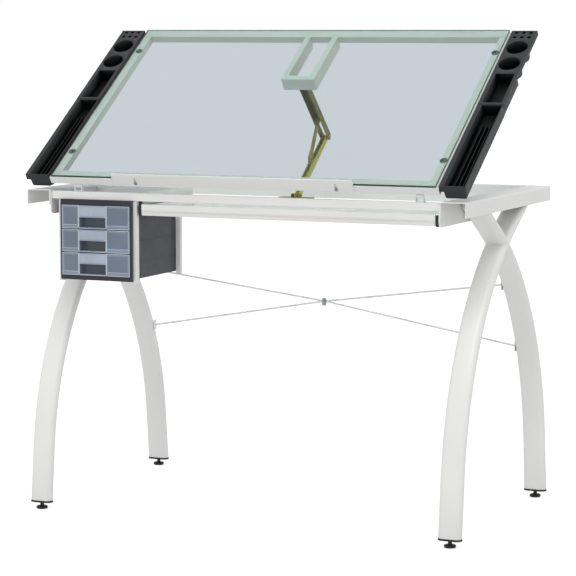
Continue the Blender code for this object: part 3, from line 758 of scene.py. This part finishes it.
# %% The pull lip
def pull_lip(body):
    low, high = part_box(body)
    x0, x1, face = UPRIGHTS[0][1] + 0.0002, UPRIGHTS[1][0] - 0.0002, low.y
    foot = low.z + 0.0265
    lip = block(body + "_pull", (x0, face - 0.0010, foot), (x1, face + 0.0005, high.z))
    open_faces(lip, in_front)
    bpy.ops.mesh.inset(thickness=0.0022, depth=0)
    push((0, 0.0006, 0))
    open_faces(lip, lambda middle, normal: normal.z > 0.9 and middle.y < face)
    push((0, -0.0014, 0))
    return soften(lip, 0.0004, 3)


print("a pull lip can be built")

# %% [markdown]
# The bottom and the middle bin are alike, so the middle one gets copies. The top bin
# is a little taller and gets its own.

# %% Fit the trims to the three bins
BOTTOM, MIDDLE, TOP = "small_drawer_bottom", "small_drawer_middle", "small_drawer_top"
# the windows and the finger-hole linings are painted shade
TRIMS = (
    (drawer_trim, rim_plastic),
    (painted_shade_windows, shaded_windows_finish),
    (painted_shade_liner, recess_shade_finish),
    (pull_lip, lip_plastic),
)
for make, finish in TRIMS:
    lowest = make(BOTTOM)
    middle_name = lowest.name.replace(BOTTOM, MIDDLE)
    middle = copy_of(lowest, middle_name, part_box(BOTTOM)[0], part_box(MIDDLE)[0])
    for body, trim in ((BOTTOM, lowest), (MIDDLE, middle), (TOP, make(TOP))):
        hand_in(trim, body, finish)

# %% [markdown]
# ## Ribs on the drawer case
#
# The case's thin sides are stiffened by level ribs. One is modelled and copied up the
# side, and the row is joined. The right side's row is the left one turned half round.

# %% Case ribs
LEFT_WALL, RIGHT_WALL = -0.4567, -0.2743
RIBS, FIRST_RIB, RIB_STEP, RIB_HIGH, RIB_OUT = 3, 0.0420, 0.0500, 0.0014, 0.0006
POST_GAP = 0.002
case_low, case_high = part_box("drawer_case")
_, front_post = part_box("unit_post_front_right")
rear_post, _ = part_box("unit_post_rear_right")
start, end = front_post.y + POST_GAP, rear_post.y - POST_GAP
level = case_low.z + FIRST_RIB
ribs = [
    block(
        "rib",
        (LEFT_WALL - RIB_OUT, start, level),
        (LEFT_WALL + RIB_OUT * 0.3, end, level + RIB_HIGH),
    )
]
for number in range(1, RIBS):
    ribs.append(copy_of(ribs[0], "rib", (0, 0, 0), (0, 0, number * RIB_STEP)))
left_row = soften(joined("case_ribs_left", ribs), 0.0004)
half_way = (start + end) / 2
right_row = copy_of(
    left_row, "case_ribs_right", (LEFT_WALL, half_way, 0), (RIGHT_WALL, half_way, 0), half_turn=True
)
for row in (left_row, right_row):
    hand_in(row, "base", case_plastic)

# %% [markdown]
# ## The case's bezel
#
# The case's front is framed by a darker bezel: a broad band above the drawers with
# rounded shoulders, a thin upright on each side and a band below. Each band is a
# block. The shoulders of the top one are rounded with an edge bevel.

# %% Bezel
BEZEL_OUT, BEZEL_IN, SHOULDER = 0.0008, 0.0004, 0.0060
bins_low, bins_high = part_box(TOP)
lowest_bin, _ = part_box(BOTTOM)
y0, y1 = case_low.y - BEZEL_OUT, case_low.y + BEZEL_IN
sides_top, foot_top = bins_high.z + 0.0011, lowest_bin.z - 0.0012
top_band = block(
    "band", (case_low.x, y0, bins_high.z + 0.0012), (case_high.x, y1, case_high.z - 0.0002)
)
top_level = case_high.z - 0.0004
shoulders = open_edges(
    top_band, lambda a, b: min(a.z, b.z) > top_level and abs(a.x - b.x) < SAME_SPOT
)
bpy.ops.mesh.bevel(offset=SHOULDER, segments=5)
close()
right_band = block("band", (bins_high.x + 0.0010, y0, case_low.z), (case_high.x, y1, sides_top))
foot_band = block("band", (case_low.x, y0, case_low.z), (bins_high.x + 0.0009, y1, foot_top))
left_band = block(
    "band", (case_low.x, y0, lowest_bin.z - 0.0011), (bins_low.x - 0.0010, y1, sides_top)
)
bezel = soften(joined("case_bezel", [top_band, right_band, foot_band, left_band]), 0.0003)
hand_in(bezel, "base", bezel_plastic)
print("rounded", shoulders, "shoulders")

# %% [markdown]
# ## The wide drawer's lip
#
# The steel drawer front is folded under at its foot. The fold leans back, so it looks
# greyer than the face above it. Its block has its lower front edge moved back.

# %% Drawer lip
LIP_OUT, LIP_HIGH, LIP_END, LEFT_OUT = 0.0020, 0.0085, 0.001, 0.0003
drawer_low, drawer_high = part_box("wide_drawer")
lip = block(
    "wide_drawer_lip",
    (drawer_low.x + LIP_END, drawer_low.y - LIP_OUT, drawer_low.z + 0.0004),
    (drawer_high.x - LIP_END, drawer_low.y + 0.0004, drawer_low.z + LIP_HIGH),
)
fold = drawer_low.z + 0.001
open_edges(lip, lambda a, b: max(a.z, b.z) < fold and max(a.y, b.y) < drawer_low.y)
bpy.ops.transform.translate(value=(0, LIP_OUT - LEFT_OUT, 0))
close()
soften(lip, 0.0003)
hand_in(lip, "wide_drawer", white_powder)

# %% [markdown]
# ## The clamp where the rods cross
#
# A small pressed clip and its hex screw hold the two rods together.

# %% Rod clip and its screw
CLIP_HALF, CLIP_DEEP, CLIP_BELOW, CLIP_ABOVE = 0.0050, 0.0016, 0.0100, 0.0085
HEX_RADIUS, HEX_LONG, HEX_OUT = 0.0042, 0.0035, 0.0020
clamp_low, clamp_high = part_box("brace_clamp")
middle = (clamp_low + clamp_high) / 2
clip_front = clamp_low.y - CLIP_DEEP
clip = block(
    "rod_clip",
    (middle.x - CLIP_HALF, clip_front, middle.z - CLIP_BELOW),
    (middle.x + CLIP_HALF, clamp_low.y + 0.0002, middle.z + CLIP_ABOVE),
)
inset(clip, in_front, (0.0016, 0.0006))
soften(clip, 0.0004)
hand_in(clip, "base", screw_zinc)
hex_spot = (middle.x, clip_front - HEX_OUT, middle.z)
screw = round_bar("rod_clip_screw", HEX_RADIUS, HEX_LONG, hex_spot, "Y", 6)
inset(screw, in_front, (0.0009, 0.0005))
soften(screw, 0.0002)
hand_in(screw, "base", screw_zinc)

# %% [markdown]
# ## Caps under the unit's posts
#
# The four posts are square tube of one section, closed below by a small pressed cap
# with an inset foot, coated with the post. One is modelled and copied to the others.

# %% Post caps
CAP_IN, CAP_DEEP = 0.0006, 0.0020
posts = sorted(name for name in nodes if name.startswith("unit_post"))
first_low, first_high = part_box(posts[0])
first_cap = block(
    posts[0].replace("post", "plug"),
    (first_low.x + CAP_IN, first_low.y + CAP_IN, first_low.z - CAP_DEEP),
    (first_high.x - CAP_IN, first_high.y - CAP_IN, first_low.z - 0.0001),
)
inset(first_cap, lambda place, normal: normal.z < -0.9, (0.0025, 0.0006))
soften(first_cap, 0.0004)
cap_spots = {post.replace("post", "plug"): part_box(post)[0] for post in posts}
for cap in spread(first_cap, cap_spots):
    hand_in(cap, "base", white_powder)

# %% [markdown]
# ## Brace rod ends
#
# The two crossed rods are flattened at their ends and held to the inside of the legs.
# A rounded tab stands at each end. One is modelled and copied, and the tabs on the
# right are turned half round to face the left ones.


# %% Rod tabs
TAB_THICK, TAB_HALF_WIDE, TAB_HALF_HIGH, END_REACH = 0.0016, 0.007, 0.013, 0.004


def rod_ends(rod):
    mesh = nodes[rod].data
    low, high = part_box(rod)
    ends = []
    for edge in (low.x, high.x):
        near = [vertex.co for vertex in mesh.vertices if abs(vertex.co.x - edge) < END_REACH]
        ends.append(sum(near, Vector()) / len(near))
    return ends


tab_spots = {}
for number in (1, 2):
    for side, end in zip(("left", "right"), rod_ends(f"brace_rod_{number}")):
        tab_spots[f"rod_tab_{number}_{side}"] = end
first_name, at = next(iter(tab_spots.items()))
first_tab = block(
    first_name,
    (at.x, at.y - TAB_HALF_WIDE, at.z - TAB_HALF_HIGH),
    (at.x + TAB_THICK, at.y + TAB_HALF_WIDE, at.z + TAB_HALF_HIGH),
)
inset(first_tab, lambda place, normal: normal.x > 0.9, (0.0020, 0.0004))
soften(first_tab, 0.0006, 3)
for tab in spread(first_tab, tab_spots, turned=("rod_tab_1_right", "rod_tab_2_right")):
    hand_in(tab, "base", rod_zinc)

# %% [markdown]
# ## Weld seams of the board's frame
#
# The board's tubes are mitred and welded, then powder coated over the bead. A thin
# round bar along each seam reads as a dressed weld. One is modelled and copied to the
# four corners, before each is laid on the board.

# %% Weld beads
SEAM_RADIUS, SEAM_LONG, SEAM_X, SEAM_Z = 0.0011, 0.023, 0.476, 0.0216
SEAM_Y = {"front": 0.0277, "rear": 0.5834}
seam_spots = {}
for side, across in (("left", -SEAM_X), ("right", SEAM_X)):
    for end, along in SEAM_Y.items():
        seam_spots[f"frame_weld_{end}_{side}"] = Vector((across, along, SEAM_Z))
first_name, first_spot = next(iter(seam_spots.items()))
first_bead = round_bar(first_name, SEAM_RADIUS, SEAM_LONG, first_spot, "X", 10)
open_faces(first_bead, lambda place, normal: abs(normal.x) < 0.5)
bpy.ops.mesh.subdivide(number_cuts=1)
close()
bpy.ops.object.shade_smooth()
for bead in spread(first_bead, seam_spots):
    hand_in(lay_on_board(bead), "board", white_powder)

# %% [markdown]
# ## The room
#
# A plain pale floor, a bright even sky and one soft sun from above and in front, as in
# a product studio. Floor and sky look white to the camera, and a cool grey to rays that
# have passed through the glass, as a studio wall does behind a sheet of float glass.

# %% What the floor and the sky look like to each kind of ray
BEHIND_GLASS = (0.875, 0.865, 0.965, 1)
FLOOR_SEEN, FLOOR_BOUNCE, SKY_SEEN, SKY_LIGHT = 0.80, 0.80, 1.02, 0.80


def by_ray(tree, lighting, through_glass, seen, end):
    ray = tree.nodes.new("ShaderNodeLightPath")
    unseen = tree.nodes.new("ShaderNodeMixShader")
    tree.links.new(ray.outputs["Is Transmission Ray"], unseen.inputs["Fac"])
    tree.links.new(lighting, unseen.inputs[1])
    tree.links.new(through_glass, unseen.inputs[2])
    either = tree.nodes.new("ShaderNodeMixShader")
    tree.links.new(ray.outputs["Is Camera Ray"], either.inputs["Fac"])
    tree.links.new(unseen.outputs["Shader"], either.inputs[1])
    tree.links.new(seen, either.inputs[2])
    tree.links.new(either.outputs["Shader"], end.inputs["Surface"])


def glow(tree, kind, colour, strength=1.0):
    node = tree.nodes.new("ShaderNode" + kind)
    node.inputs["Color"].default_value = colour
    node.inputs["Strength"].default_value = strength
    return node.outputs[kind]


print("floor and sky can tell rays apart")

# %% [markdown]
# The floor is one large plane, a hair below the feet.

# %% Floor
FLOOR_SIZE, FLOOR_LEVEL = 80, -0.0002
let_go()
bpy.ops.mesh.primitive_plane_add(size=FLOOR_SIZE, location=(0, 0, FLOOR_LEVEL))
floor = bpy.context.object
floor.name = "floor"
floor_paint = new_finish("floor_paint", (0.3, 0.3, 0.3), 0.9)
floor_tree = floor_paint.node_tree
floor_shader = floor_tree.nodes["Principled BSDF"]
floor_shader.inputs["Emission Color"].default_value = (1, 1, 1, 1)
floor_shader.inputs["Emission Strength"].default_value = FLOOR_SEEN
floor_shader.inputs["Specular IOR Level"].default_value = 0.0
wander_roughness(floor_paint, grain(floor_paint, 2), 0.85, 0.95)
by_ray(
    floor_tree,
    glow(floor_tree, "Emission", (FLOOR_BOUNCE, FLOOR_BOUNCE, FLOOR_BOUNCE, 1)),
    glow(floor_tree, "Emission", BEHIND_GLASS),
    floor_shader.outputs["BSDF"],
    floor_tree.nodes["Material Output"],
)
floor.data.materials.append(floor_paint)
print("the floor is laid")

# %% [markdown]
# The sky is even. The sun is very wide, so its shadows are soft.

# %% Sky and sun
SUN_STRENGTH, SUN_WIDE = 1.1, math.radians(30)
SUN_TURN = (math.radians(30), 0, math.radians(12))
world = bpy.data.worlds.new("studio")
bpy.context.scene.world = world
world.use_nodes = True
sky = world.node_tree
background = sky.nodes["Background"]
background.inputs["Color"].default_value = (1, 1, 1, 1)
background.inputs["Strength"].default_value = SKY_LIGHT
by_ray(
    sky,
    background.outputs["Background"],
    glow(sky, "Background", BEHIND_GLASS),
    glow(sky, "Background", (1, 1, 1, 1), SKY_SEEN),
    sky.nodes["World Output"],
)
sun_data = bpy.data.lights.new("sun", "SUN")
sun_data.energy, sun_data.angle = SUN_STRENGTH, SUN_WIDE
sun = bpy.data.objects.new("sun", sun_data)
sun.rotation_euler = SUN_TURN
bpy.context.scene.collection.objects.link(sun)
bpy.context.scene.view_settings.view_transform = "Standard"
print("the lights are on")
